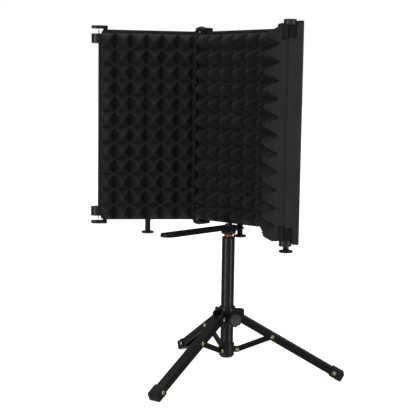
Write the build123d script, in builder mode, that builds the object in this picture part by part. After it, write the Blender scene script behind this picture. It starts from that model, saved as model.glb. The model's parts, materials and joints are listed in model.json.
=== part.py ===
"""Microphone isolation shield on a folding desktop tripod.

Three identical trays lined with pyramid foam are hinged into a shallow bay.
A short plate carries the middle tray on the stand's stud, and a flat arm on
the same stud reaches forward to hold the microphone in front of the foam.

Frame: +Z up, the floor at Z = 0, the shield's hollow side faces -Y, and the
origin is under the middle of the whole object. Units are millimetres.
"""
from build123d import *
import os
from math import acos, asin, atan, cos, degrees, radians, sin, sqrt

os.makedirs("parts", exist_ok=True)

LOW = (Align.MIN, Align.MIN, Align.MIN)
BASE = (Align.CENTER, Align.CENTER, Align.MIN)
RUNNING = 0.05          # radial clearance of a pin or stud that turns
OVER = 1.0              # how far a cut runs past the metal it removes
LONG = 40.0             # longer than any bore

# ---------------------------------------------------------------- shield ----
panel_pitch = 181.0     # from hinge line to hinge line
panel_height = 330.0
wing_turn = 49.5        # each wing is turned forward from the middle panel
shield_floor = 262.0    # underside of the trays
side_gap = 2.4          # hinge line to tray side
rim_forward = 1.4       # tray rim in front of the hinge line
tray_depth = 22.0
sheet = 1.5
lip = 4.0
fold_radius = 3.0
tray_width = panel_pitch - 2 * side_gap
back_out = tray_depth - rim_forward

foam_gap = 0.3
foam_side = side_gap + lip + foam_gap
foam_width = panel_pitch - 2 * foam_side
foam_height = panel_height - 2 * (lip + foam_gap)
foam_proud = 11.0       # flat base of the foam in front of the rim
tooth_height = 24.0
tooth_half = 13.5
foam_front = rim_forward + foam_proud
foam_play = 0.5         # room left round the hinge fittings

# ---------------------------------------------------------------- hinges ----
lug_radius = 10.0
barrel_radius = 9.5
pin_radius = 4.0
plate_bottom = 1.6      # above the tray's top edge
plate_thick = 4.8
block_top = 7.4         # below the tray's top edge
block_height = 16.0
web_near = 10.8
web_far = 17.8
web_room = 0.6          # gap between the tray and the bracket's web
plate_notch = 5.6       # the tray's back corner opens for the next plate
washer_thick = 1.0
barrel_top = 1.5
barrel_play = 0.1
pocket_depth = 25.0
pocket_side = 11.5
pocket_back = 11.3
liner = 2.0
dome_radius = 8.0
dome_height = 3.0
edge_break = 0.8
key_radius = 2.6        # hexagon socket of a hinge screw
key_depth = 1.3

# ------------------------------------------------------------------ feet ----
foot_back = 6.5         # foot axis behind the hinge line
foot_rod_radius = 5.0
foot_disc_radius = 11.0
foot_disc_thick = 3.5
foot_drop = 25.0
center_foot_drop = 22.7
insert_radius = 6.2
insert_height = 12.0
thread_pitch = 1.5
thread_depth = 0.45

# ----------------------------------------------------------------- stand ----
pole_y = 42.0
shield_back = 30.0      # middle foot axis behind the pole axis
tube_radius = 11.0
tube_wall = 1.5
tube_bottom = 36.0
tube_top = 240.5
cap_top = 242.5
cap_radius = 11.3
plug_flange = 3.0
plug_depth = 9.0
stud_radius = 5.0
stud_bottom = 222.0
ring_radius = 7.0
ring_flutes = 14
ring_flute = 0.9
ring_rim = 1.1
ring_top = 247.0
nut_top = 253.0
nut_radius = 12.6
nut_flutes = 18
nut_flute = 1.5
plate_top = 256.0
strap_width = 25.0
arm_top = 261.5
arm_reach = 161.0
arm_tail = 18.0
arm_hole_radius = 4.85
arm_hole_reach = 148.0
tail_radius = 7.0
spacer_radius = 5.2
arm_washer_radius = 8.5
arm_screw_radius = 2.5
arm_screw_length = 12.0
arm_head_radius = 6.0
arm_head_thick = 2.6
arm_head_round = 1.6

# ------------------------------------------------------- tripod linkage ----
leg_azimuths = {"front": 275.6, "rear_right": 35.6, "rear_left": 155.6}
collar_pivot = (19.0, 47.0)     # radius from the pole, height
hub_pivot = (22.0, 103.0)
foot_point = (196.0, 8.0)
brace_joint = 65.0              # along the leg from the hub pivot
leg_width = 15.0
leg_depth = 12.5
leg_sheet = 1.5
brace_thick = 5.0
brace_depth = 9.0
brace_play = 0.2
ear_thick = 2.3
collar_ear = 4.4
hub_ear = 6.9
ear_crown = 14.0        # the hub's ears rise this far above the pivot
ear_corner = 5.0
rivet_radius = 2.0
rivet_head = 3.4
rivet_dome = 1.3
small_dome = 0.7
rivet_taper = 35.0
cap_wall = 1.5
cap_rivet = 11.5        # back from the leg's end
cap_back = 18.0
cap_corner = 3.5
collar_radius = 13.0
collar_height = 22.0
hub_radius = 13.8
hub_bottom = 96.0
hub_top = 122.0
clevis_gap = leg_width + 0.5
clevis_thick = 2.4
knob_azimuth = 336.0
knob_height = 103.0
knob_radius = 11.5
knob_thick = 12.0
knob_lobes = 7
lobe_radius = 3.4
lobe_bite = 1.6
knob_boss = 6.0
boss_end = 22.0
knob_pin = 3.0
knob_pin_length = 21.0

leg_run = foot_point[0] - hub_pivot[0]
leg_fall = hub_pivot[1] - foot_point[1]
leg_length = sqrt(leg_run**2 + leg_fall**2)
leg_slope = degrees(asin(leg_fall / leg_length))
joint_point = (
    hub_pivot[0] + brace_joint * cos(radians(leg_slope)),
    hub_pivot[1] - brace_joint * sin(radians(leg_slope)),
)
brace_run = joint_point[0] - collar_pivot[0]
brace_rise = joint_point[1] - collar_pivot[1]
brace_length = sqrt(brace_run**2 + brace_rise**2)
brace_slope = degrees(asin(brace_rise / brace_length))
fold_brace = degrees(acos((hub_pivot[0] - collar_pivot[0]) / brace_length)) - brace_slope
fold_leg = 90.0 - leg_slope
folded_hub = (
    collar_pivot[1] + brace_length * sin(radians(brace_slope + fold_brace)) + brace_joint
)
print(f"leg length {leg_length:.3f} slope {leg_slope:.3f}, brace {brace_length:.3f} at {brace_slope:.3f}")
print(f"brace folds {fold_brace:.3f} deg, leg {fold_leg:.3f} deg, hub rises {folded_hub - hub_pivot[1]:.3f}")
print(f"joint point {joint_point[0]:.3f}, {joint_point[1]:.3f}")


def save(piece, name):
    """Label one finished piece and write its file."""
    piece.part.label = name
    export_step(piece.part, f"parts/{name}.step")


def direction(azimuth):
    """Unit vector in the floor plane, counter-clockwise from +X."""
    return Vector(cos(radians(azimuth)), sin(radians(azimuth)), 0)


def upright(origin, azimuth):
    """Plane whose X runs along an azimuth and whose Z is up."""
    return Plane(origin=origin, x_dir=direction(azimuth), z_dir=(0, 0, 1))


pole = Plane(origin=(0, pole_y, 0))
hinge_y = pole_y + shield_back - foot_back
half_pitch = panel_pitch / 2
left_fold = Vector(-half_pitch, hinge_y, shield_floor)
right_fold = Vector(half_pitch, hinge_y, shield_floor)
left_end = left_fold - direction(wing_turn) * panel_pitch

# X along the panel from its left hinge line, Y towards the back, Z up
panels = {
    "left": upright(left_end, wing_turn),
    "center": upright(left_fold, 0.0),
    "right": upright(right_fold, -wing_turn),
}


# =============================================================== trays ======
def make_tray(name, plane):
    """Folded sheet tray with a returned lip and cut corners for the hinges."""
    back = Axis(plane.origin, plane.y_dir)
    with BuildPart(plane) as tray:
        with Locations((side_gap, -rim_forward, 0)):
            Box(tray_width, tray_depth, panel_height, align=LOW)
        fillet(tray.edges().filter_by(Axis.Z).group_by(back)[-1], fold_radius)
        with Locations((side_gap + sheet, -rim_forward + sheet, sheet)):
            Box(
                tray_width - 2 * sheet,
                tray_depth - 2 * sheet,
                panel_height - 2 * sheet,
                align=LOW,
                mode=Mode.SUBTRACT,
            )
        with Locations((side_gap + lip, -rim_forward - OVER, lip)):
            Box(
                tray_width - 2 * lip,
                sheet + OVER,
                panel_height - 2 * lip,
                align=LOW,
                mode=Mode.SUBTRACT,
            )
        lug_cut = block_top + block_height + foam_gap
        for low in (panel_height - lug_cut, -OVER):
            with Locations((0, -rim_forward - OVER, low)):
                Box(
                    web_near - web_room,
                    rim_forward + lug_radius + 2 * OVER,
                    lug_cut + OVER,
                    align=LOW,
                    mode=Mode.SUBTRACT,
                )
        for low in (panel_height - block_top, -OVER):
            with Locations((side_gap + sheet, lug_radius + OVER, low)):
                Box(plate_notch, tray_depth, block_top + OVER, align=LOW, mode=Mode.SUBTRACT)
        for low in (panel_height - lip, -OVER):
            with Locations((web_near - web_room, -rim_forward - OVER, low)):
                Box(
                    web_far + foam_gap - web_near + web_room,
                    rim_forward + OVER + lug_radius + foam_gap,
                    lip + OVER,
                    align=LOW,
                    mode=Mode.SUBTRACT,
                )
        for low in (panel_height - pocket_depth, -OVER):
            with Locations((panel_pitch - pocket_side, -rim_forward - OVER, low)):
                Box(
                    pocket_side,
                    rim_forward + OVER + pocket_back,
                    pocket_depth + OVER,
                    align=LOW,
                    mode=Mode.SUBTRACT,
                )
        with Locations((half_pitch, foot_back, 0)):
            Cylinder(pin_radius + RUNNING, 4 * sheet, mode=Mode.SUBTRACT)
    save(tray, f"{name}_tray")


# ================================================================ foam ======
def make_foam(name, plane):
    """Pyramid foam pad as its plain outer block, cut round the fittings."""
    front = Plane(
        origin=plane.from_local_coords(Vector(0, -foam_front, 0)),
        x_dir=plane.x_dir,
        z_dir=-plane.y_dir,
    )
    floor_y = back_out - sheet
    corner = pocket_depth + liner + foam_play
    foot_room = insert_radius + OVER
    with BuildPart(plane) as foam:
        with Locations((foam_side, -foam_front, lip + foam_gap)):
            Box(foam_width, foam_front + floor_y, foam_height, align=LOW)
        with BuildSketch(front):
            with Locations((half_pitch, panel_height / 2)):
                Rectangle(foam_width, foam_height)
        extrude(amount=tooth_height, taper=degrees(atan(tooth_half / tooth_height)))
        for low in (panel_height - corner, 0):
            for near, front in ((web_far, rim_forward), (web_near, lug_radius + foam_play)):
                for start in (0, panel_pitch - near - foam_play):
                    with Locations((start, -front - foam_play, low)):
                        Box(
                            near + foam_play,
                            front + tray_depth,
                            corner,
                            align=LOW,
                            mode=Mode.SUBTRACT,
                        )
        with Locations((half_pitch - foot_room, foot_back - foot_room, 0)):
            Box(
                2 * foot_room,
                2 * foot_room,
                sheet + insert_height + OVER,
                align=LOW,
                mode=Mode.SUBTRACT,
            )
    save(foam, f"{name}_foam")


# ====================================================== hinge brackets ======
def flipped(plane):
    """The same panel plane seen from its bottom edge, for mirrored fittings."""
    foot = plane.from_local_coords(Vector(0, 0, panel_height / 2))
    return Plane(origin=foot, x_dir=plane.x_dir, z_dir=(0, 0, 1))


def save_both_ends(piece, plane, name):
    """Write a top fitting and its mirror image at the bottom edge."""
    save(piece, name.format("top"))
    middle = flipped(plane)
    with BuildPart() as twin:
        add(piece.part.mirror(middle))
    save(twin, name.format("bottom"))


def make_socket(name, plane):
    """Left-hand bracket: a plate over a block, with the barrel's gap between."""
    block_low = panel_height - block_top - block_height
    plate_low = panel_height + plate_bottom
    with BuildPart(plane) as bracket:
        with Locations((0, 0, block_low)):
            Cylinder(lug_radius, block_height, align=BASE)
        with Locations((0, -lug_radius, block_low)):
            Box(web_near, 2 * lug_radius, block_height, align=LOW)
        with Locations((web_near, -rim_forward, block_low)):
            Box(
                web_far - web_near,
                rim_forward + lug_radius,
                plate_low - block_low,
                align=LOW,
            )
        with Locations((0, 0, plate_low)):
            Cylinder(lug_radius, plate_thick, align=BASE)
        with Locations((0, -lug_radius, plate_low)):
            Box(web_far, 2 * lug_radius, plate_thick, align=LOW)
        chamfer(bracket.faces().sort_by(Axis.Z)[-1].edges(), edge_break)
        with Locations((0, 0, block_low)):
            Cylinder(pin_radius + RUNNING, LONG, align=BASE, mode=Mode.SUBTRACT)
    save_both_ends(bracket, plane, f"{name}_{{}}_socket")


def make_barrel(name, plane):
    """Right-hand bracket: a barrel on a tongue, with a pocket behind it."""
    barrel_low = panel_height - block_top + washer_thick + barrel_play
    barrel_height = panel_height + barrel_top - barrel_low
    inner = panel_pitch - pocket_side - liner
    wall_end = panel_pitch - side_gap - sheet
    shelf_low = panel_height - pocket_depth - liner
    wall_top = panel_height - sheet
    with BuildPart(plane) as bracket:
        with Locations((panel_pitch, 0, barrel_low)):
            Cylinder(barrel_radius, barrel_height, align=BASE)
        with Locations((inner + liner, -rim_forward, barrel_low)):
            Box(pocket_side, rim_forward + barrel_radius, barrel_height, align=LOW)
        chamfer(bracket.faces().sort_by(Axis.Z)[-1].edges(), 0.5)
        with Locations((inner, -rim_forward + sheet, shelf_low)):
            Box(
                liner,
                rim_forward - sheet + pocket_back + liner,
                wall_top - shelf_low,
                align=LOW,
            )
        with Locations((inner + liner, pocket_back, shelf_low)):
            Box(wall_end - inner - liner, liner, wall_top - shelf_low, align=LOW)
        with Locations((inner + liner, -rim_forward + sheet, shelf_low)):
            Box(
                wall_end - inner - liner,
                rim_forward - sheet + pocket_back,
                liner,
                align=LOW,
            )
        with Locations((panel_pitch, 0, barrel_low)):
            Cylinder(pin_radius + RUNNING, LONG, align=BASE, mode=Mode.SUBTRACT)
    save_both_ends(bracket, plane, f"{name}_{{}}_barrel")


def make_hinge_fasteners(name, fold):
    """The two dome screws and two washers of one fold."""
    head_low = panel_height + plate_bottom + plate_thick
    shank = head_low - (panel_height - block_top - block_height) - 0.5
    middle = Plane(origin=fold + Vector(0, 0, panel_height / 2))
    bend = (dome_radius**2 + dome_height**2) / (2 * dome_height)
    with BuildPart(Plane(origin=fold)) as screws:
        with Locations((0, 0, head_low)):
            Cylinder(dome_radius, dome_height, align=BASE)
        with Locations((0, 0, head_low + dome_height - bend)):
            Sphere(bend, mode=Mode.INTERSECT)
        with BuildSketch(Plane(origin=fold + Vector(0, 0, head_low + dome_height - key_depth))):
            RegularPolygon(key_radius, 6)
        extrude(amount=key_depth + OVER, mode=Mode.SUBTRACT)
        with Locations((0, 0, head_low - shank)):
            Cylinder(pin_radius, shank, align=BASE)
        mirror(about=middle)
    save(screws, f"{name}_hinge_screws")
    with BuildPart(Plane(origin=fold)) as washers:
        with Locations((0, 0, panel_height - block_top)):
            Cylinder(barrel_radius - 0.5, washer_thick, align=BASE)
            Cylinder(pin_radius + RUNNING, washer_thick, align=BASE, mode=Mode.SUBTRACT)
        mirror(about=middle)
    save(washers, f"{name}_hinge_washers")


# ========================================================= foot screws ======
def make_foot(name, plane, drop, collar_low):
    """Threaded foot: a disc, a thick threaded rod and a shank in the tray."""
    axis_plane = Plane(
        origin=plane.from_local_coords(Vector(half_pitch, foot_back, 0)),
        x_dir=plane.x_dir,
        z_dir=-plane.y_dir,
    )
    rod_low = -drop + foot_disc_thick
    turns = int((collar_low - rod_low) / thread_pitch)
    rod_profile = []
    for turn in range(turns):
        base = rod_low + turn * thread_pitch
        rod_profile.append((foot_rod_radius - thread_depth, base))
        rod_profile.append((foot_rod_radius, base + thread_pitch / 2))
    with BuildPart() as foot:
        with BuildSketch(axis_plane):
            with BuildLine():
                Polyline(
                    (0, -drop),
                    (foot_disc_radius - edge_break, -drop),
                    (foot_disc_radius, -drop + edge_break),
                    (foot_disc_radius, rod_low - edge_break),
                    (foot_disc_radius - edge_break, rod_low),
                    *rod_profile,
                    (foot_rod_radius - thread_depth, collar_low),
                    (pin_radius, collar_low),
                    (pin_radius, insert_height),
                    (0, insert_height),
                    close=True,
                )
            make_face()
        revolve(axis=Axis(axis_plane.origin, (0, 0, 1)))
    save(foot, f"{name}_foot")
    with BuildPart(plane) as insert:
        with Locations((half_pitch, foot_back, sheet)):
            Cylinder(insert_radius, insert_height, align=BASE)
            Cylinder(pin_radius + RUNNING, insert_height, align=BASE, mode=Mode.SUBTRACT)
    save(insert, f"{name}_foot_insert")


for panel_name, panel_plane in panels.items():
    make_tray(panel_name, panel_plane)
    make_foam(panel_name, panel_plane)
    make_socket(panel_name, panel_plane)
    make_barrel(panel_name, panel_plane)
make_hinge_fasteners("left", left_fold)
make_hinge_fasteners("right", right_fold)
make_foot("left", panels["left"], foot_drop, 0.0)
make_foot("center", panels["center"], center_foot_drop, nut_top - shield_floor)
make_foot("right", panels["right"], foot_drop, 0.0)

with BuildPart(pole) as shield_spacer:
    with Locations((0, shield_back, plate_top)):
        Cylinder(spacer_radius, shield_floor - plate_top, align=BASE)
        Cylinder(pin_radius + RUNNING, LONG, align=BASE, mode=Mode.SUBTRACT)
save(shield_spacer, "shield_spacer")

# ======================================================== plate and arm =====
with BuildPart() as shield_plate:
    with BuildSketch(pole.offset(nut_top)):
        Circle(strap_width / 2)
        with Locations((0, shield_back)):
            Circle(tail_radius)
        make_hull()
        Circle(stud_radius + RUNNING, mode=Mode.SUBTRACT)
        with Locations((0, shield_back)):
            Circle(pin_radius + RUNNING, mode=Mode.SUBTRACT)
    extrude(amount=plate_top - nut_top)
save(shield_plate, "shield_plate")

with BuildPart() as mic_arm:
    with BuildSketch(pole.offset(plate_top)):
        with Locations((0, (arm_tail - arm_reach) / 2)):
            SlotOverall(arm_reach + arm_tail, strap_width, rotation=90)
        Circle(stud_radius + RUNNING, mode=Mode.SUBTRACT)
        with Locations((0, -arm_hole_reach)):
            Circle(arm_hole_radius, mode=Mode.SUBTRACT)
    extrude(amount=arm_top - plate_top)
    chamfer(mic_arm.faces().sort_by(Axis.Z)[-1].outer_wire().edges(), 0.6)
save(mic_arm, "mic_arm")

# ============================================================ stand top =====
with BuildPart(pole) as arm_washer:
    with Locations((0, 0, arm_top)):
        Cylinder(arm_washer_radius, washer_thick, align=BASE)
        Cylinder(arm_screw_radius, washer_thick, align=BASE, mode=Mode.SUBTRACT)
save(arm_washer, "arm_washer")

with BuildPart(pole) as arm_screw:
    with Locations((0, 0, arm_top + washer_thick)):
        Cylinder(arm_head_radius, arm_head_thick, align=BASE)
    fillet(arm_screw.faces().sort_by(Axis.Z)[-1].edges(), arm_head_round)
    with BuildSketch(pole.offset(arm_top + washer_thick + arm_head_thick - key_depth)):
        RegularPolygon(key_radius, 6)
    extrude(amount=key_depth + OVER, mode=Mode.SUBTRACT)
    with Locations((0, 0, arm_top - arm_screw_length)):
        Cylinder(arm_screw_radius, arm_screw_length + washer_thick, align=BASE)
save(arm_screw, "arm_screw")

with BuildPart(pole) as stud:
    with Locations((0, 0, stud_bottom)):
        Cylinder(stud_radius, arm_top - stud_bottom, align=BASE)
    with Locations((0, 0, arm_top - arm_screw_length)):
        Cylinder(arm_screw_radius, LONG, align=BASE, mode=Mode.SUBTRACT)
save(stud, "stud")

ring_plane = Plane(origin=(0, pole_y, 0), x_dir=(1, 0, 0), z_dir=(0, -1, 0))
pole_axis = Axis((0, pole_y, 0), (0, 0, 1))
with BuildPart(pole) as thread_ring:
    with Locations((0, 0, cap_top)):
        Cylinder(ring_radius, ring_top - cap_top, align=BASE)
    for step in range(ring_flutes):
        flute = direction(step * 360.0 / ring_flutes) * (ring_radius + ring_flute / 3)
        with Locations((flute.X, flute.Y, cap_top + ring_rim)):
            Cylinder(ring_flute, ring_top - cap_top - 2 * ring_rim, align=BASE, mode=Mode.SUBTRACT)
    with Locations((0, 0, cap_top)):
        Cylinder(stud_radius, ring_top - cap_top, align=BASE, mode=Mode.SUBTRACT)
save(thread_ring, "thread_ring")

with BuildPart() as clamp_nut:
    with BuildSketch(ring_plane):
        with BuildLine():
            Polyline(
                (stud_radius + RUNNING, ring_top),
                (nut_radius - 2.4, ring_top),
                (nut_radius, ring_top + 2.4),
                (nut_radius, nut_top - edge_break),
                (nut_radius - edge_break, nut_top),
                (stud_radius + RUNNING, nut_top),
                close=True,
            )
        make_face()
    revolve(axis=pole_axis)
    for step in range(nut_flutes):
        flute = direction(step * 360.0 / nut_flutes) * (nut_radius + nut_flute / 2)
        with Locations((flute.X, pole_y + flute.Y, ring_top + 2.0)):
            Cylinder(nut_flute, nut_top - ring_top, align=BASE, mode=Mode.SUBTRACT)
save(clamp_nut, "clamp_nut")

with BuildPart(pole) as tube_cap:
    with Locations((0, 0, tube_top)):
        Cylinder(cap_radius, cap_top - tube_top, align=BASE)
    fillet(tube_cap.edges().filter_by(GeomType.CIRCLE).sort_by(Axis.Z)[-1], edge_break)
    with Locations((0, 0, stud_bottom)):
        Cylinder(tube_radius - tube_wall, tube_top - stud_bottom, align=BASE)
        Cylinder(stud_radius, LONG, align=BASE, mode=Mode.SUBTRACT)
save(tube_cap, "tube_cap")

with BuildPart(pole) as tube:
    with Locations((0, 0, tube_bottom)):
        Cylinder(tube_radius, tube_top - tube_bottom, align=BASE)
        Cylinder(
            tube_radius - tube_wall, tube_top - tube_bottom, align=BASE, mode=Mode.SUBTRACT
        )
save(tube, "tube")

with BuildPart(pole) as tube_plug:
    with Locations((0, 0, tube_bottom - plug_flange)):
        Cylinder(tube_radius, plug_flange, align=BASE)
    fillet(tube_plug.edges().sort_by(Axis.Z)[0], plug_flange / 2)
    with Locations((0, 0, tube_bottom)):
        Cylinder(tube_radius - tube_wall, plug_depth, align=BASE)
save(tube_plug, "tube_plug")


# ============================================================== tripod ======
def side_plane(azimuth):
    """Vertical plane through the pole: X outward along the azimuth, Y up."""
    outward = direction(azimuth)
    return Plane(origin=(0, pole_y, 0), x_dir=outward, z_dir=outward.cross(Vector(0, 0, 1)))


def ear_pairs(pivot, radius, inner, gap, thick, crown=0.0):
    """Two plates either side of each of the three levers, with rivet holes.

    With a crown the plates rise that far above the pivot, with a rounded corner.
    """
    with BuildPart() as ears:
        for azimuth in leg_azimuths.values():
            for offset in (gap / 2, -gap / 2 - thick):
                with BuildSketch(side_plane(azimuth).offset(offset)) as ear:
                    with Locations(pivot):
                        Circle(radius)
                    with Locations(((pivot[0] + inner) / 2, pivot[1])):
                        Rectangle(pivot[0] - inner, 2 * radius)
                    if crown:
                        reach = pivot[0] + radius
                        with Locations(((reach + inner) / 2, pivot[1] + crown / 2)):
                            Rectangle(reach - inner, crown)
                        top = ear.vertices().group_by(Axis.Y)[-1]
                        fillet(top.sort_by(Axis.X)[-1], ear_corner)
                    with Locations(pivot):
                        Circle(rivet_radius, mode=Mode.SUBTRACT)
                extrude(amount=thick)
    return ears.part


collar_gap = brace_thick + 2 * brace_play
collar_ears = ear_pairs(collar_pivot, collar_ear, tube_radius, collar_gap, ear_thick)
hub_ears = ear_pairs(hub_pivot, hub_ear, tube_radius / 2, clevis_gap, clevis_thick, ear_crown)

with BuildPart() as bottom_collar:
    with Locations((0, pole_y, tube_bottom)):
        Cylinder(collar_radius, collar_height, align=BASE)
    fillet(bottom_collar.edges(), edge_break)
    add(collar_ears)
    with Locations((0, pole_y, tube_bottom)):
        Cylinder(tube_radius, collar_height, align=BASE, mode=Mode.SUBTRACT)
save(bottom_collar, "bottom_collar")

with BuildPart() as leg_hub:
    with Locations((0, pole_y, hub_bottom)):
        Cylinder(hub_radius, hub_top - hub_bottom, align=BASE)
    fillet(leg_hub.edges(), edge_break)
    add(hub_ears)
    knob_plane = Plane(
        origin=(0, pole_y, knob_height),
        x_dir=(0, 0, 1),
        z_dir=direction(knob_azimuth),
    )
    with BuildSketch(knob_plane.offset(tube_radius + OVER)):
        Circle(knob_boss)
    extrude(amount=boss_end - tube_radius - OVER)
    with Locations((0, pole_y, hub_pivot[1])):
        Cylinder(tube_radius + RUNNING, LONG, mode=Mode.SUBTRACT)
    with BuildSketch(knob_plane):
        Circle(knob_pin + RUNNING)
    extrude(amount=LONG, mode=Mode.SUBTRACT)
save(leg_hub, "leg_hub")

with BuildPart() as knob_screw:
    with BuildSketch(knob_plane.offset(tube_radius + RUNNING)):
        Circle(knob_pin)
    extrude(amount=knob_pin_length)
save(knob_screw, "knob_screw")

with BuildPart() as hub_knob:
    with BuildSketch(knob_plane.offset(boss_end + 0.4)):
        Circle(knob_radius)
        with PolarLocations(knob_radius + lobe_radius - lobe_bite, knob_lobes):
            Circle(lobe_radius, mode=Mode.SUBTRACT)
    extrude(amount=knob_thick)
    outward = Axis(knob_plane.origin, knob_plane.z_dir)
    chamfer(hub_knob.faces().sort_by(outward)[-1].edges(), 0.5)
    with BuildSketch(knob_plane):
        Circle(knob_pin)
    extrude(amount=tube_radius + RUNNING + knob_pin_length, mode=Mode.SUBTRACT)
save(hub_knob, "hub_knob")


def rivet(plane, pivot, low, high, head):
    """A rivet across a lever: a shank from low to high and a dome on each end."""
    with BuildPart() as pin:
        with BuildSketch(plane.offset(low)):
            with Locations(pivot):
                Circle(rivet_radius)
        extrude(amount=high - low)
        for end, step in ((high, head), (low, -head)):
            with BuildSketch(plane.offset(end)):
                with Locations(pivot):
                    Circle(rivet_head)
            extrude(amount=step, taper=rivet_taper)
    return pin.part


collar_half = collar_gap / 2 + ear_thick
collar_pins = [
    rivet(side_plane(azimuth), collar_pivot, -collar_half, collar_half, small_dome)
    for azimuth in leg_azimuths.values()
]
with BuildPart() as collar_rivets:
    add(collar_pins)
save(collar_rivets, "collar_rivets")

with BuildPart() as hub_rivets:
    for azimuth in leg_azimuths.values():
        side = side_plane(azimuth)
        for end, step in ((clevis_gap / 2, 1), (-clevis_gap / 2, -1)):
            with BuildSketch(side.offset(end)):
                with Locations(hub_pivot):
                    Circle(rivet_radius)
            extrude(amount=step * clevis_thick)
            with BuildSketch(side.offset(end + step * clevis_thick)):
                with Locations(hub_pivot):
                    Circle(rivet_head)
            extrude(amount=step * rivet_dome, taper=rivet_taper)
save(hub_rivets, "hub_rivets")


def make_leg(name, azimuth):
    """One folding leg: channel, brace, rivets and rubber foot."""
    side = side_plane(azimuth)
    along = side.x_dir * cos(radians(leg_slope)) - Vector(0, 0, sin(radians(leg_slope)))
    start = side.from_local_coords(Vector(hub_pivot[0], hub_pivot[1], 0))
    # X along the leg from the hub pivot, Y up and out, Z across the leg
    leg_plane = Plane(origin=start, x_dir=along, z_dir=side.z_dir)
    radius = leg_depth / 2
    channel_end = leg_length - 2.0
    with BuildPart() as leg:
        with BuildSketch(leg_plane.offset(-leg_width / 2)):
            Circle(radius)
            with Locations((channel_end / 2, 0)):
                Rectangle(channel_end, leg_depth)
        extrude(amount=leg_width)
        inner = leg_width / 2 - leg_sheet
        with BuildSketch(leg_plane.offset(-inner)):
            with Locations((channel_end / 2 - radius, -leg_sheet)):
                Rectangle(channel_end + 4 * radius, leg_depth)
        extrude(amount=2 * inner, mode=Mode.SUBTRACT)
        with BuildSketch(leg_plane.offset(-leg_width)):
            with Locations((brace_joint, 0), (leg_length - cap_rivet, 0)):
                Circle(rivet_radius)
        extrude(amount=2 * leg_width, mode=Mode.SUBTRACT)
    save(leg, f"{name}_leg")

    leg_half = leg_width / 2
    brace_pin = rivet(leg_plane, (brace_joint, 0), -leg_half, leg_half, rivet_dome)
    cap_half = leg_half + cap_wall
    cap_pin = rivet(leg_plane, (leg_length - cap_rivet, 0), -cap_half, cap_half, small_dome)
    with BuildPart() as rivets:
        add([brace_pin, cap_pin])
    save(rivets, f"{name}_leg_rivets")

    with BuildPart() as foot_cap:
        toe = foot_point[1]
        heel = leg_length - cap_back
        # the rounded lower corner of the cap is what touches the floor
        lift = (1 - cos(radians(leg_slope))) / sin(radians(leg_slope))
        cap_end = leg_length + cap_corner + (toe - cap_corner) * lift
        with BuildSketch(leg_plane.offset(-cap_half)) as outline:
            with Locations(((heel + cap_end) / 2, 0)):
                Rectangle(cap_end - heel, 2 * toe)
            fillet(outline.vertices().group_by(Axis.X)[-1], cap_corner)
        extrude(amount=2 * cap_half)
        with BuildSketch(leg_plane.offset(-leg_width / 2)):
            with Locations(((heel + channel_end) / 2 - 1, 0)):
                Rectangle(channel_end - heel + 2, leg_depth)
        extrude(amount=leg_width, mode=Mode.SUBTRACT)
        with BuildSketch(leg_plane.offset(-leg_width)):
            with Locations((leg_length - cap_rivet, 0)):
                Circle(rivet_radius)
        extrude(amount=2 * leg_width, mode=Mode.SUBTRACT)
    save(foot_cap, f"{name}_foot_cap")

    rise = side.x_dir * cos(radians(brace_slope)) + Vector(0, 0, sin(radians(brace_slope)))
    foot = side.from_local_coords(Vector(collar_pivot[0], collar_pivot[1], 0))
    brace_plane = Plane(origin=foot, x_dir=rise, z_dir=side.z_dir)
    with BuildPart() as brace:
        with BuildSketch(brace_plane.offset(-brace_thick / 2)):
            with Locations((brace_length / 2, 0)):
                SlotCenterToCenter(brace_length, brace_depth)
            with Locations((0, 0), (brace_length, 0)):
                Circle(rivet_radius + RUNNING, mode=Mode.SUBTRACT)
        extrude(amount=brace_thick)
    save(brace, f"{name}_brace")


for leg_name, leg_azimuth in leg_azimuths.items():
    make_leg(leg_name, leg_azimuth)
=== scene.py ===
"""Looks of the microphone isolation shield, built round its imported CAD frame."""

import json
import math

import bmesh
import bpy
import numpy as np
from mathutils import Matrix, Vector

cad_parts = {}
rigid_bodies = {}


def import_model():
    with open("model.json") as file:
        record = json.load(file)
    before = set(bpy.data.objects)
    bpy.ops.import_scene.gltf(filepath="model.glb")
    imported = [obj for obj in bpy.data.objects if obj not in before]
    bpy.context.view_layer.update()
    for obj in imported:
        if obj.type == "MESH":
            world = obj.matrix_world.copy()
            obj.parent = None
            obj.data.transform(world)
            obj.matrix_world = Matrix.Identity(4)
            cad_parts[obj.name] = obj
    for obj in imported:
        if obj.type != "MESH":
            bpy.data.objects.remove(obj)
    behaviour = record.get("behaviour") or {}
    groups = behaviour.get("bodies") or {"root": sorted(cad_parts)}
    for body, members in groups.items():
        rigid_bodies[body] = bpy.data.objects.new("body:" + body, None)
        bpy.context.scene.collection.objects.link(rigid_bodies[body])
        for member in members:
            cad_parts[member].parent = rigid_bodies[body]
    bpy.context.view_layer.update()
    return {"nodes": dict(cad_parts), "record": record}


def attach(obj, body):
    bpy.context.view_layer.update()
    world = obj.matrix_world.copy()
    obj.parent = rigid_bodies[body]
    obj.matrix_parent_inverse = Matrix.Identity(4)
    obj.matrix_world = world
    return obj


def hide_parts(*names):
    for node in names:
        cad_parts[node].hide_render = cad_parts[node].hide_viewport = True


for thing in list(bpy.data.objects):
    bpy.data.objects.remove(thing)
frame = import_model()

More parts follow.
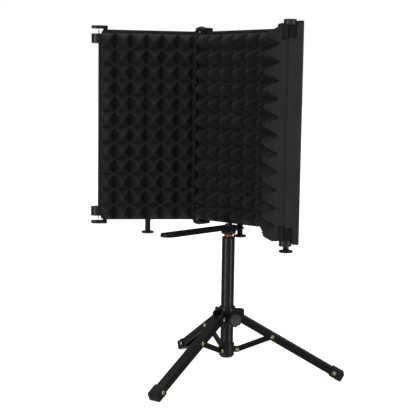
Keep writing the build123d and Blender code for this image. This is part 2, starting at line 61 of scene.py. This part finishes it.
# ------------------------------------------------------- frame dimensions ----
MM = 0.001
PITCH = 181.0          # hinge line to hinge line
TURN = math.radians(49.5)
SHIELD_Z = 262.0       # underside of the trays
PANEL_H = 330.0
HINGE_Y = 65.5
FOAM_SIDE = 6.7        # hinge line to foam edge
FOAM_LOW = 4.3         # tray underside to foam edge
FOAM_FRONT = 12.4      # flat base of the foam, in front of the hinge line
FOAM_BACK = 19.1
TOOTH = 24.0
HALF = 13.5            # half of the foam's pitch
FIRST_VALLEY = 324.2   # highest row of valleys above the tray's underside
RIDGE_ROUND = 1.5      # rounding of the four ridges of a tooth
TIP_CUT = 1.2          # how far the rounded tip stays under the full height
TIP_ROUND = 2.4
VALLEY_ROUND = 1.6
VALLEY_SINK = 0.7
FOLD_ROUND = 2.0       # where the teeth slope away to a neighbour's foam


# ============================================================ node helpers ===
class Nodes:
    """A material's node tree with short calls for the nodes used here."""

    def __init__(self, name):
        self.material = bpy.data.materials.new(name)
        self.material.use_nodes = True
        self.tree = self.material.node_tree
        self.tree.nodes.clear()
        self.out = self.tree.nodes.new("ShaderNodeOutputMaterial")
        self.shader = self.tree.nodes.new("ShaderNodeBsdfPrincipled")
        self.join(self.shader.outputs[0], self.out.inputs["Surface"])
        self.place = self.tree.nodes.new("ShaderNodeTexCoord").outputs["Object"]

    def join(self, a, b):
        self.tree.links.new(a, b)

    def stretch(self, scale):
        """Object coordinates multiplied along each axis."""
        node = self.tree.nodes.new("ShaderNodeMapping")
        node.inputs["Scale"].default_value = scale
        self.join(self.place, node.inputs["Vector"])
        return node.outputs[0]

    def noise(self, scale, detail=3.0, rough=0.6, where=None):
        node = self.tree.nodes.new("ShaderNodeTexNoise")
        node.inputs["Scale"].default_value = scale
        node.inputs["Detail"].default_value = detail
        node.inputs["Roughness"].default_value = rough
        self.join(where or self.place, node.inputs["Vector"])
        return node.outputs["Fac"]

    def cells(self, scale, feature="F1", where=None):
        node = self.tree.nodes.new("ShaderNodeTexVoronoi")
        node.feature = feature
        node.inputs["Scale"].default_value = scale
        self.join(where or self.place, node.inputs["Vector"])
        return node.outputs["Distance"]

    def attribute(self, name):
        node = self.tree.nodes.new("ShaderNodeAttribute")
        node.attribute_name = name
        return node.outputs["Fac"]

    def spread(self, value, low, high, to_low=0.0, to_high=1.0):
        node = self.tree.nodes.new("ShaderNodeMapRange")
        for socket, number in zip((1, 2, 3, 4), (low, high, to_low, to_high)):
            node.inputs[socket].default_value = number
        self.join(value, node.inputs[0])
        return node.outputs[0]

    def math(self, kind, a, b):
        node = self.tree.nodes.new("ShaderNodeMath")
        node.operation = kind
        for socket, value in zip(node.inputs, (a, b)):
            if isinstance(value, (int, float)):
                socket.default_value = value
            else:
                self.join(value, socket)
        return node.outputs[0]

    def mix(self, factor, a, b):
        node = self.tree.nodes.new("ShaderNodeMix")
        node.data_type = "RGBA"
        self.join(factor, node.inputs["Factor"])
        for socket, value in zip((node.inputs[6], node.inputs[7]), (a, b)):
            if isinstance(value, tuple):
                socket.default_value = (*value, 1.0)
            else:
                self.join(value, socket)
        return node.outputs[2]

    def bump(self, height, strength, distance, under=None):
        node = self.tree.nodes.new("ShaderNodeBump")
        node.inputs["Strength"].default_value = strength
        node.inputs["Distance"].default_value = distance
        self.join(height, node.inputs["Height"])
        if under is not None:
            self.join(under, node.inputs["Normal"])
        return node.outputs[0]

    def soft_edges(self, radius):
        """Normals rounded over a small radius at every edge."""
        node = self.tree.nodes.new("ShaderNodeBevel")
        node.samples = 6
        node.inputs["Radius"].default_value = radius
        return node.outputs[0]

    def edge_mask(self, rounded):
        """1 on edges and corners, 0 on flat faces."""
        flat = self.tree.nodes.new("ShaderNodeNewGeometry").outputs["Normal"]
        node = self.tree.nodes.new("ShaderNodeVectorMath")
        node.operation = "DOT_PRODUCT"
        self.join(rounded, node.inputs[0])
        self.join(flat, node.inputs[1])
        return self.spread(node.outputs["Value"], 1.0, 0.86)

    def put(self, **sockets):
        """Sets or joins inputs of the shader, such as base_color=..."""
        for name, value in sockets.items():
            socket = self.shader.inputs[name.replace("_", " ").title().replace("Ior", "IOR")]
            if isinstance(value, tuple):
                socket.default_value = (*value, 1.0)
            elif isinstance(value, (int, float)):
                socket.default_value = value
            else:
                self.join(value, socket)
        return self


# =============================================================== materials ===
def coated_metal(
    name, dark, light, rough, grain=0.25, grain_scale=1500.0, edge_wear_and_shade=0.35, edge_wear_and_shade_tone=0.11,
    buff=0.08, shine=0.5, edge_width=0.5,
):
    """Black coated sheet or casting: fine texture, uneven sheen, edges of their own tone: paler
    wear where that tone is lighter than the paint, painted shade along the rounded edges where it
    is darker, as on the tray.
    """
    n = Nodes(name)
    rounded = n.soft_edges(0.5 * MM)
    edge = n.edge_mask(n.soft_edges(edge_width * MM))
    patch = n.noise(38.0, 4.0)
    fine = n.noise(grain_scale, 2.0)
    edge_break_noise = n.noise(90.0, 5.0, 0.7, where=n.stretch((1.0, 1.0, 0.25)))
    colour = n.mix(n.spread(patch, 0.3, 0.7), dark, light)
    edge_rub_and_shade = n.math("MULTIPLY", edge, n.spread(edge_break_noise, 0.42, 0.62, 0.1, 1.0))
    # edges mixed to their own tone: paler wear on most parts, painted shade on the tray, whose
    # edge tone is darker than its paint
    colour = n.mix(n.math("MULTIPLY", edge_rub_and_shade, edge_wear_and_shade), colour, (edge_wear_and_shade_tone, edge_wear_and_shade_tone, edge_wear_and_shade_tone * 1.02))
    gloss = n.spread(patch, 0.25, 0.75, rough - 0.05, rough + 0.08)
    gloss = n.math("SUBTRACT", gloss, n.math("MULTIPLY", edge, buff))
    n.put(base_color=colour, roughness=gloss, specular_ior_level=shine)
    n.put(normal=n.bump(fine, grain, 0.12 * MM, rounded))
    return n.material


def moulded(name, dark, light, rough, grain=0.3, grain_scale=2200.0, round_over=0.4):
    """Black moulded plastic: pebbled skin, soft edges, a little dust in tone."""
    n = Nodes(name)
    rounded = n.soft_edges(round_over * MM)
    edge = n.edge_mask(rounded)
    patch = n.noise(55.0, 3.0)
    pebble = n.cells(grain_scale, "SMOOTH_F1")
    colour = n.mix(n.spread(patch, 0.3, 0.7), dark, light)
    colour = n.mix(n.math("MULTIPLY", edge, 0.3), colour, (0.07, 0.07, 0.071))
    n.put(base_color=colour, roughness=n.spread(patch, 0.3, 0.7, rough - 0.05, rough + 0.07))
    n.put(specular_ior_level=0.45, normal=n.bump(pebble, grain, 0.08 * MM, rounded))
    return n.material


def rubber(name):
    """Moulded rubber end cap: dull, with fine speckle and paler rubbed edges."""
    n = Nodes(name)
    rounded = n.soft_edges(0.9 * MM)
    edge = n.edge_mask(rounded)
    speckle = n.noise(1400.0, 3.0)
    patch = n.noise(80.0, 4.0)
    colour = n.mix(n.spread(patch, 0.3, 0.7), (0.010, 0.010, 0.010), (0.022, 0.022, 0.023))
    colour = n.mix(n.math("MULTIPLY", edge, 0.4), colour, (0.06, 0.06, 0.06))
    n.put(base_color=colour, roughness=n.spread(speckle, 0.3, 0.7, 0.62, 0.82))
    n.put(specular_ior_level=0.4, normal=n.bump(speckle, 0.4, 0.1 * MM, rounded))
    return n.material


def bare_metal(name, dark, light, rough, scratch=(40.0, 40.0, 900.0)):
    """Bare metal with fine turning marks and a tarnished, uneven tone."""
    n = Nodes(name)
    rounded = n.soft_edges(0.3 * MM)
    marks = n.noise(1.0, 2.0, where=n.stretch(scratch))
    patch = n.noise(400.0, 3.0)
    colour = n.mix(n.spread(patch, 0.3, 0.7), dark, light)
    n.put(base_color=colour, metallic=1.0)
    n.put(roughness=n.spread(patch, 0.3, 0.7, rough - 0.06, rough + 0.1))
    n.put(normal=n.bump(marks, 0.25, 0.05 * MM, rounded))
    return n.material


def open_foam(name):
    """Charcoal open-cell foam: pores with painted shade at their centres, mottling, painted
    highlights on the crests, painted shade on the side faces darkest in the valleys, painted light
    on the upper and lower faces, and a paler painted sheen on the sawn ends.
    """
    n = Nodes(name)
    mottle = n.noise(75.0, 4.0, 0.65)
    pores = n.cells(620.0)
    fuzz = n.noise(1300.0, 2.0, 0.7)
    # masks baked on the mesh that carry painted light and shade on the teeth
    crest = n.attribute("crest")
    flank_shade = n.attribute("flank_shade")
    row = n.attribute("row")
    colour = n.mix(n.spread(mottle, 0.3, 0.7), (0.0420, 0.0420, 0.0425), (0.0600, 0.0600, 0.0605))
    # painted light on the upper and lower faces of the teeth, reaching into the row valleys
    colour = n.mix(n.math("MULTIPLY", row, 0.75), colour, (0.125, 0.125, 0.1255))
    # painted shade on the side faces of the teeth, broken up by a cloudy noise
    cloud = n.spread(n.noise(24.0, 2.0), 0.35, 0.65, 0.36, 0.68)
    colour = n.mix(n.math("MULTIPLY", flank_shade, cloud), colour, (0.021, 0.021, 0.0215))
    # painted highlight along the crests and tips
    colour = n.mix(n.math("MULTIPLY", crest, 0.28), colour, (0.082, 0.082, 0.0825))
    # painted sheen: the sawn ends paler
    colour = n.mix(n.attribute("sawn"), colour, (0.074, 0.074, 0.0745))
    # painted shade in the pore centres
    colour = n.mix(n.spread(pores, 0.16, 0.42, 0.45, 0.0), colour, (0.004, 0.004, 0.004))
    n.put(base_color=colour, roughness=1.0, specular_ior_level=0.03)
    low = n.bump(pores, 0.55, 0.5 * MM)
    n.put(normal=n.bump(fuzz, 0.35, 0.25 * MM, low))
    return n.material


FINISHES = {
    # tray edges mixed 0.9 of the way to 0.005 over a 2 mm band: painted shade along the rounded
    # edges
    "tray_paint": coated_metal(
        "tray_paint", (0.021, 0.021, 0.022), (0.031, 0.031, 0.032), 0.52, 0.25, 1500.0, 0.9, 0.005,
        buff=-0.4, edge_width=2.0,
    ),
    "hinge_casting": coated_metal(
        "hinge_casting", (0.021, 0.021, 0.022), (0.033, 0.033, 0.034), 0.33, 0.35, 1100.0, 0.7, 0.2
    ),
    "foot_screw": coated_metal(
        "foot_screw", (0.016, 0.016, 0.016), (0.026, 0.026, 0.026), 0.38, 0.15, 1800.0, 0.4, 0.12
    ),
    "hidden_steel": bare_metal("hidden_steel", (0.32, 0.32, 0.33), (0.46, 0.46, 0.47), 0.35),
    "black_screw": coated_metal(
        "black_screw", (0.016, 0.016, 0.017), (0.030, 0.030, 0.031), 0.30, 0.1, 1800.0, 0.6, 0.2
    ),
    "nylon": moulded("nylon", (0.030, 0.030, 0.031), (0.045, 0.045, 0.046), 0.45, 0.1),
    "arm_paint": coated_metal(
        "arm_paint", (0.008, 0.008, 0.008), (0.013, 0.013, 0.0132), 0.44, 0.22, 1500.0, 0.6, 0.14,
        shine=0.24, edge_width=0.8,
    ),
    "thread_brass": bare_metal("thread_brass", (0.26, 0.09, 0.025), (0.60, 0.27, 0.09), 0.24),
    "knob_plastic": moulded(
        "knob_plastic", (0.010, 0.010, 0.010), (0.016, 0.016, 0.016), 0.36, round_over=4.0
    ),
    "tube_paint": coated_metal(
        "tube_paint", (0.014, 0.014, 0.0145), (0.020, 0.020, 0.0205), 0.34, 0.12, 1900.0, 0.3, 0.09
    ),
    "hub_plastic": moulded("hub_plastic", (0.012, 0.012, 0.012), (0.021, 0.021, 0.0215), 0.38),
    "rivet_brass": bare_metal("rivet_brass", (0.80, 0.70, 0.42), (0.98, 0.92, 0.68), 0.30),
    "leg_paint": coated_metal(
        "leg_paint", (0.011, 0.011, 0.0115), (0.018, 0.018, 0.0185), 0.36, 0.15, 1700.0, 0.5, 0.13,
        shine=0.28, edge_width=0.8,
    ),
    "foot_rubber": rubber("foot_rubber"),
    "foam": open_foam("foam"),
}
for part in frame["record"]["subparts"]:
    node = frame["nodes"][part["node"]]
    if not node.material_slots:
        node.data.materials.append(None)
    for slot in node.material_slots:
        slot.link = "OBJECT"
        slot.material = FINISHES[part["material_slot"]]


# ==================================================================== foam ===
def panel_matrix(origin, turn):
    """Panel millimetres to the frame's metres: X along, Y back, Z up."""
    along = Vector((math.cos(turn), math.sin(turn), 0.0))
    back = Vector((-math.sin(turn), math.cos(turn), 0.0))
    m = Matrix((
        (along.x, back.x, 0.0, origin[0]),
        (along.y, back.y, 0.0, origin[1]),
        (0.0, 0.0, 1.0, SHIELD_Z),
        (0.0, 0.0, 0.0, 1.0),
    ))
    return Matrix.Scale(MM, 4) @ m


LEFT_END = (
    -PITCH / 2 - PITCH * math.cos(TURN),
    HINGE_Y - PITCH * math.sin(TURN),
)
# place, one valley line, which sides meet another panel, and the strength of its painted light and
# shade on the foam
PANELS = {
    "left": (panel_matrix(LEFT_END, TURN), 30.0, (False, True), 0.88),
    "center": (panel_matrix((-PITCH / 2, HINGE_Y), 0.0), 6.7, (True, True), 0.55),
    "right": (panel_matrix((PITCH / 2, HINGE_Y), -TURN), 158.5, (True, False), 0.8),
}


def smooth_min(a, b, k):
    h = np.clip(0.5 + 0.5 * (b - a) / k, 0.0, 1.0)
    return b * (1 - h) + a * h - k * h * (1 - h)


def lines(first, low, high, step):
    """Grid lines through every valley and crest, plus the two cut edges."""
    start = first - math.ceil((first - low) / step) * step
    inner = [x for x in np.arange(start, high + step, step) if low + 0.35 < x < high - 0.35]
    return np.array([low, *inner, high])


def tooth_parts(along, up, valley, dice):
    """Distances from the crest lines of each tooth, with small irregularities."""
    column = np.floor((along - valley) / (2 * HALF)).astype(int)
    row = np.floor((FIRST_VALLEY - up) / (2 * HALF)).astype(int)
    lean = dice[(column + 40) % 64, (row + 40) % 64]
    u = along - (valley + (2 * column + 1) * HALF)
    v = up - (FIRST_VALLEY - (2 * row + 1) * HALF)
    fade_u = np.clip(1.0 - np.abs(u) / HALF, 0.0, 1.0)
    fade_v = np.clip(1.0 - np.abs(v) / HALF, 0.0, 1.0)
    fade = np.minimum(fade_u, fade_v)
    u = u + lean[..., 0] * fade
    v = v + lean[..., 1] * fade
    return np.abs(u), np.abs(v), lean[..., 2]


def foam_relief(along, up, valley, meets, dice):
    """Height of the teeth above the foam's flat base, in millimetres."""
    u, v, tall = tooth_parts(along, up, valley, dice)
    reach = -smooth_min(-u, -v, RIDGE_ROUND)
    cone = (1.0 - reach / HALF) * (TOOTH + tall)
    relief = smooth_min(cone, np.full_like(cone, TOOTH - TIP_CUT), TIP_ROUND)
    relief = -smooth_min(-relief, np.full_like(cone, -VALLEY_SINK), VALLEY_ROUND)
    for meeting, edge, way in ((meets[0], FOAM_SIDE, 1), (meets[1], PITCH - FOAM_SIDE, -1)):
        if meeting:
            room = (along - edge) * way * TOOTH / HALF
            relief = np.maximum(smooth_min(relief, room, FOLD_ROUND), 0.0)
    return np.clip(relief, 0.0, TOOTH - 0.1)


def prism(bm, outline, low, high):
    """Adds a closed prism over an (x, y) outline to bm."""
    rings = [[bm.verts.new((x, y, z)) for x, y in outline] for z in (low, high)]
    bm.faces.new(list(reversed(rings[0])))
    bm.faces.new(rings[1])
    for i in range(len(outline)):
        k = (i + 1) % len(outline)
        bm.faces.new((rings[0][i], rings[0][k], rings[1][k], rings[1][i]))


def corner_cutter(name):
    """The rooms that the hinge fittings and the foot insert need in the foam."""
    bm = bmesh.new()
    near, far, front, step, deep = 11.3, 18.3, -11.0, -1.9, 27.5
    shape = [(-5, front), (near, front), (near, step), (far, step), (far, 30), (-5, 30)]
    other = [(PITCH - x, y) for x, y in reversed(shape)]
    for outline in (shape, other):
        prism(bm, outline, -5.0, deep)
        prism(bm, outline, PANEL_H - deep, PANEL_H + 5.0)
    prism(bm, [(83.3, -0.7), (97.7, -0.7), (97.7, 13.7), (83.3, 13.7)], -5.0, 14.5)
    mesh = bpy.data.meshes.new(name)
    bm.to_mesh(mesh)
    bm.free()
    return bpy.data.objects.new(name, mesh)


def paint_foam(mesh, tones, depth):
    """Stores the painted light and shade of the teeth, and the paler painted sheen of the sawn
    ends.
    """
    corners = np.empty(len(mesh.loops), dtype=int)
    mesh.loops.foreach_get("vertex_index", corners)
    sizes = np.empty(len(mesh.polygons), dtype=int)
    mesh.polygons.foreach_get("loop_total", sizes)
    normals = np.empty(len(mesh.polygons) * 3)
    mesh.polygons.foreach_get("normal", normals)
    sawn = np.repeat(np.abs(normals.reshape(-1, 3)[:, 0]) > 0.95, sizes)
    tones = {label: values[corners] * ~sawn for label, values in tones.items()}
    # painted sheen on the sawn ends: full from the hinge line back, fading to 0.15 towards the
    # tooth tips
    tones["sawn"] = sawn * np.clip(1.0 + depth[corners] / (FOAM_FRONT + TOOTH), 0.15, 1.0)
    for label, values in tones.items():
        layer = mesh.attributes.new(label, "FLOAT", "CORNER")
        layer.data.foreach_set("value", values.astype(np.float32))


def make_foam(name, place, valley, meets, painted_shading_strength, seed):
    """One pad of pyramid foam as a closed mesh in its tray."""
    spots = np.random.default_rng(seed)
    dice = spots.uniform(-1.0, 1.0, (64, 64, 3)) * np.array((1.1, 1.1, 0.9))
    step = HALF / 8
    xs = lines(valley, FOAM_SIDE, PITCH - FOAM_SIDE, step)
    zs = lines(FIRST_VALLEY, FOAM_LOW, PANEL_H - FOAM_LOW, step)
    along, up = np.meshgrid(xs, zs, indexing="ij")
    relief = foam_relief(along, up, valley, meets, dice)
    depth = -(FOAM_FRONT + relief)
    nx, nz = along.shape
    points = np.stack((along, depth, up), axis=-1).reshape(-1, 3).tolist()

    def front(i, k):
        return i * nz + k

    faces = []
    for i in range(nx - 1):
        for k in range(nz - 1):
            faces.append((front(i, k), front(i + 1, k), front(i + 1, k + 1), front(i, k + 1)))
    rim = [front(i, 0) for i in range(nx)] + [front(nx - 1, k) for k in range(1, nz)]
    rim += [front(i, nz - 1) for i in range(nx - 2, -1, -1)]
    rim += [front(0, k) for k in range(nz - 2, 0, -1)]
    behind = rim
    for y in (-FOAM_FRONT + 0.4, 0.0, FOAM_BACK):
        base = len(points)
        points += [(points[r][0], y, points[r][2]) for r in rim]
        ring = list(range(base, base + len(rim)))
        for a in range(len(rim)):
            b = (a + 1) % len(rim)
            faces.append((behind[b], behind[a], ring[a], ring[b]))
        behind = ring
    faces.append(tuple(behind[::-1]))
    mesh = bpy.data.meshes.new(name)
    mesh.from_pydata(points, [], faces)
    bm = bmesh.new()
    bm.from_mesh(mesh)
    bmesh.ops.recalc_face_normals(bm, faces=bm.faces)
    bm.to_mesh(mesh)
    bm.free()
    pad = bpy.data.objects.new(name, mesh)
    cutter = corner_cutter(name + "_cutter")
    for thing in (pad, cutter):
        bpy.context.scene.collection.objects.link(thing)
    cut = pad.modifiers.new("rooms", "BOOLEAN")
    cut.operation = "DIFFERENCE"
    cut.solver = "EXACT"
    cut.object = cutter
    seen = pad.evaluated_get(bpy.context.evaluated_depsgraph_get())
    result = bpy.data.meshes.new_from_object(seen)
    pad.modifiers.clear()
    pad.data = result
    bpy.data.objects.remove(cutter)

    place_points = np.empty(len(result.vertices) * 3)
    result.vertices.foreach_get("co", place_points)
    place_points = place_points.reshape(-1, 3)
    a, y, z = place_points.T
    u, v, _ = tooth_parts(a, z, valley, dice)
    on_teeth = y < -FOAM_FRONT + 0.2
    rise = np.clip((-y - FOAM_FRONT) / TOOTH, 0.0, 1.0)
    diagonal = np.clip(1.0 - np.abs(u - v) / 2.2, 0.0, 1.0)
    # painted highlight along the diagonal crests, growing towards the tips
    crest = on_teeth * np.maximum(diagonal * np.clip(rise * 3, 0, 1), rise**3)
    # painted shade on the side faces of the teeth, strongest low in the valleys
    side = np.clip((u - v) / 1.6 + 0.5, 0.0, 1.0)
    flank_shade = on_teeth * side * np.clip(1.15 - rise * 0.9, 0.0, 1.0)
    # painted light on the upper and lower faces, strongest low in the row valleys
    row = on_teeth * (1.0 - side) * np.clip(1.0 - rise * 2.2, 0.0, 1.0)
    # painted light along a side that meets another pad, in place of the shade between the pads;
    # the painted side shade is eased there
    for meeting, gap in zip(meets, (a - FOAM_SIDE, PITCH - FOAM_SIDE - a)):
        seam_light = meeting * on_teeth * np.clip(1.1 - gap / HALF, 0.0, 0.3)
        flank_shade = flank_shade * (1.0 - seam_light)
        row = np.maximum(row, seam_light)
    tones = {"crest": crest, "flank_shade": flank_shade, "row": row}
    # every painted highlight, shade and light scaled by the panel's strength
    tones = {label: tone * painted_shading_strength for label, tone in tones.items()}
    paint_foam(result, tones, y)
    result.polygons.foreach_set("use_smooth", [True] * len(result.polygons))
    result.set_sharp_from_angle(angle=math.radians(62))
    result.transform(place)
    result.materials.clear()
    result.materials.append(FINISHES["foam"])
    return pad


for order, (side, (place, valley, meets, painted_shading_strength)) in enumerate(PANELS.items()):
    pad = make_foam(side + "_pyramid_foam", place, valley, meets, painted_shading_strength, 11 + order)
    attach(pad, "center_panel" if side == "center" else side + "_wing")
    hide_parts(side + "_foam")


# =================================================================== stage ===
def plain(name, colour, rough):
    n = Nodes(name)
    shade = n.noise(3.0, 1.0)
    n.put(base_color=n.mix(shade, colour, tuple(c * 0.995 for c in colour)), roughness=rough)
    n.put(specular_ior_level=0.1)
    return n.material


floor_mesh = bpy.data.meshes.new("floor")
FLOOR_REACH = 40
floor_mesh.from_pydata(
    [(x * FLOOR_REACH, y * FLOOR_REACH, 0) for x, y in ((-1, -1), (1, -1), (1, 1), (-1, 1))],
    [],
    [(0, 1, 2, 3)],
)
floor_pale = plain("floor_pale", (0.93, 0.93, 0.93), 0.9)
floor_shader = floor_pale.node_tree.nodes["Principled BSDF"]
floor_shader.inputs["Emission Color"].default_value = (1, 1, 1, 1)
floor_shader.inputs["Emission Strength"].default_value = 0.78
floor_mesh.materials.append(floor_pale)
floor = bpy.data.objects.new("floor", floor_mesh)
bpy.context.scene.collection.objects.link(floor)

floor.visible_diffuse = False
floor.visible_glossy = False

world = bpy.data.worlds.new("studio")
bpy.context.scene.world = world
world.use_nodes = True
sky_nodes = world.node_tree.nodes
sky_links = world.node_tree.links
sky = sky_nodes["Background"]
sky.inputs["Color"].default_value = (1.0, 1.0, 1.0, 1.0)


def sky_math(kind, a, b):
    node = sky_nodes.new("ShaderNodeMath")
    node.operation = kind
    for socket, value in zip(node.inputs, (a, b)):
        if isinstance(value, (int, float)):
            socket.default_value = value
        else:
            sky_links.new(value, socket)
    return node.outputs[0]


# a bright ceiling and a bright floor with a darker band of room between them
looking = sky_nodes.new("ShaderNodeSeparateXYZ")
sky_links.new(sky_nodes.new("ShaderNodeTexCoord").outputs["Generated"], looking.inputs[0])
steep = sky_math("ABSOLUTE", looking.outputs["Z"], 0.0)
glow = sky_math("ADD", sky_math("MULTIPLY", sky_math("POWER", steep, 1.4), 0.85), 0.05)
direct = sky_nodes.new("ShaderNodeLightPath").outputs["Is Camera Ray"]
glow = sky_math("ADD", sky_math("MULTIPLY", glow, sky_math("SUBTRACT", 1.0, direct)), direct)
sky_links.new(glow, sky.inputs["Strength"])


def softbox(name, where, target, size, power):
    """A rectangular studio light pointing at a target."""
    data = bpy.data.lights.new(name, "AREA")
    data.shape = "RECTANGLE"
    data.size, data.size_y = size
    data.energy = power
    lamp = bpy.data.objects.new(name, data)
    lamp.location = where
    lamp.rotation_euler = (Vector(target) - Vector(where)).to_track_quat("-Z", "Y").to_euler()
    bpy.context.scene.collection.objects.link(lamp)
    return lamp


AIM = (0.0, 0.0, 0.36)
TUBE_MIDDLE = (0.0, 0.04, 0.35)
STRIP_AWAY = 1.6
STRIP_SIZE = (0.35, 1.6)
STRIPS = {
    "strip_left": ((-0.111, -0.993), 9.0),
    "strip_right": ((0.997, 0.081), 8.0),
}
softbox("overhead", (0.3, -0.9, 2.3), AIM, (1.8, 1.2), 1.6)
softbox("front", (0.9, -2.2, 0.8), AIM, (1.0, 1.4), 4.6)
for name, (way, power) in STRIPS.items():
    where = (way[0] * STRIP_AWAY, TUBE_MIDDLE[1] + way[1] * STRIP_AWAY, TUBE_MIDDLE[2])
    strip = softbox(name, where, TUBE_MIDDLE, STRIP_SIZE, power)
    # seen in gloss only, so the tube and the screws get their long highlights
    strip.visible_diffuse = False

# ------------------------------------------------------------------ camera ---
camera_data = bpy.data.cameras.new("camera")
SENSOR = 36.0
FOCAL = 2.4384615        # focal length over sensor width
camera_data.lens = FOCAL * SENSOR
camera_data.sensor_width = SENSOR
camera_data.clip_end = 200.0
camera = bpy.data.objects.new("camera", camera_data)
yaw, pitch, roll = math.radians(41.654), math.radians(6.325), 0.01548
turn = Matrix.Rotation(yaw, 4, "Z") @ Matrix.Rotation(math.pi / 2 - pitch, 4, "X")
turn = turn @ Matrix.Rotation(roll, 4, "Z")
camera.matrix_world = Matrix.Translation((1.1150, -1.2654, 0.4814)) @ turn
bpy.context.scene.collection.objects.link(camera)
bpy.context.scene.camera = camera
bpy.context.scene.view_settings.view_transform = "Standard"
